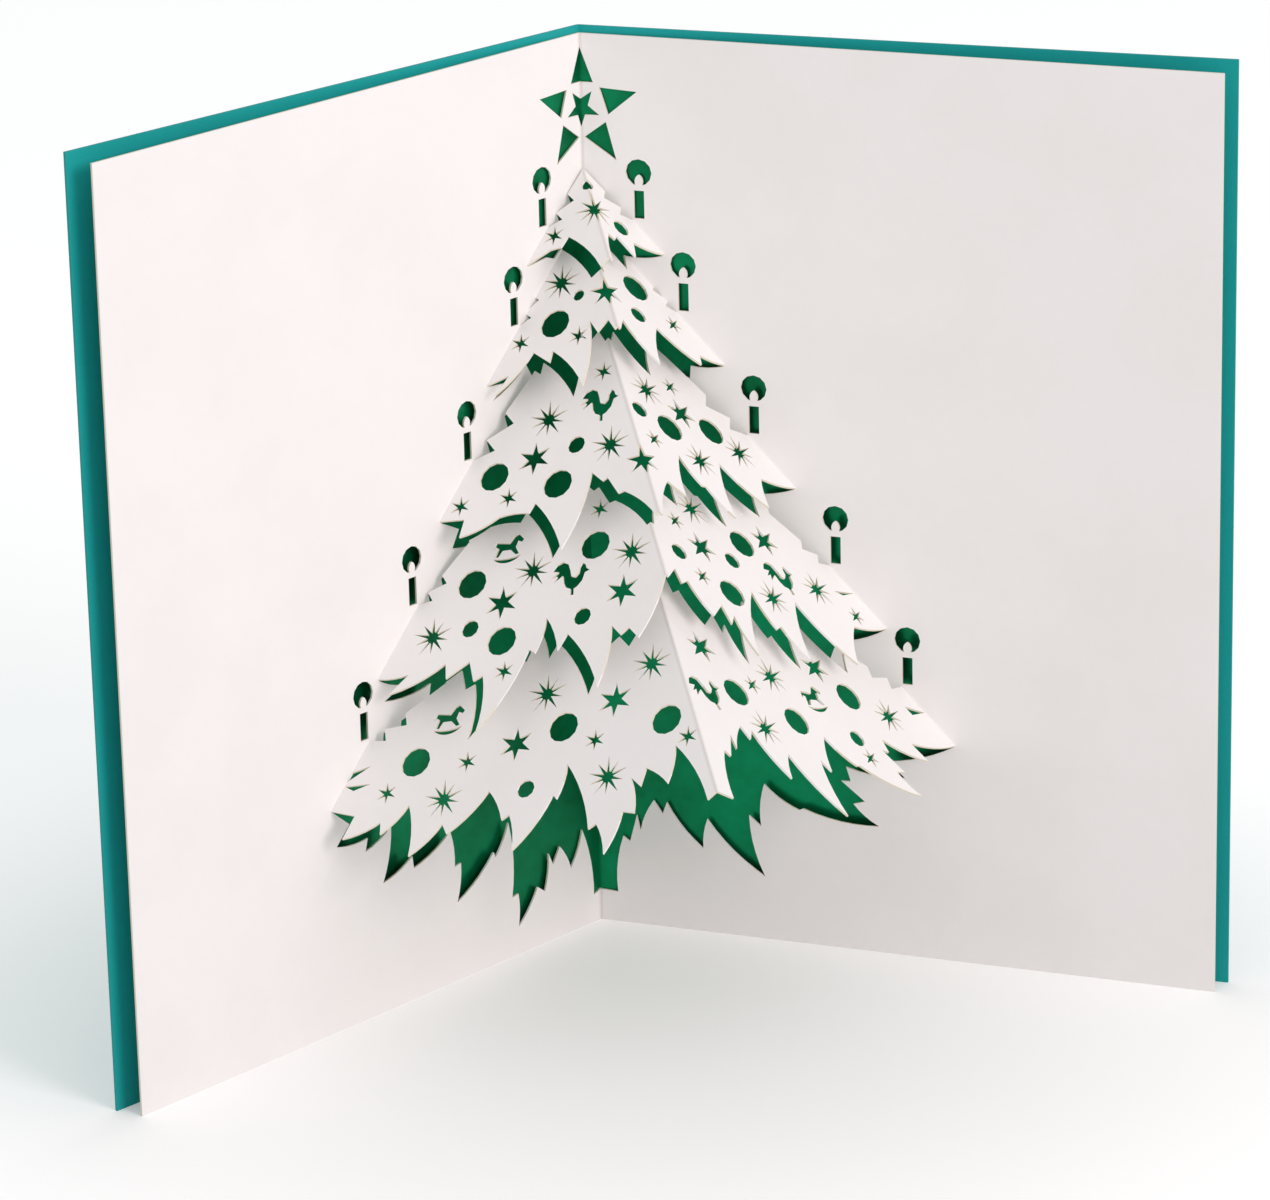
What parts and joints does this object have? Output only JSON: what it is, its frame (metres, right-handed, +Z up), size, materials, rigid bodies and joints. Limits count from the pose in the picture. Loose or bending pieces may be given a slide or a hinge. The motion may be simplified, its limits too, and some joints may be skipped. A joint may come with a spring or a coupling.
{
  "type": "pop up card",
  "caption": "Greeting card standing open, with a tiered fir tree cut and folded forward out of its white sheet in front of a plain folded cover.",
  "frame": {"origin": "middle of the card's box, on the surface the card stands on", "axes": "+Z up along the spine, -Y towards the open front of the card, X from the left half to the right half"},
  "size_m": [0.2102, 0.0943, 0.1764],
  "materials": {
    "cover_card": "smooth",
    "white_card": "matte"
  },
  "bodies": {
    "root": {"cover": "cover_card", "pop_up_sheet": "white_card"}
  },
  "joints": []
}
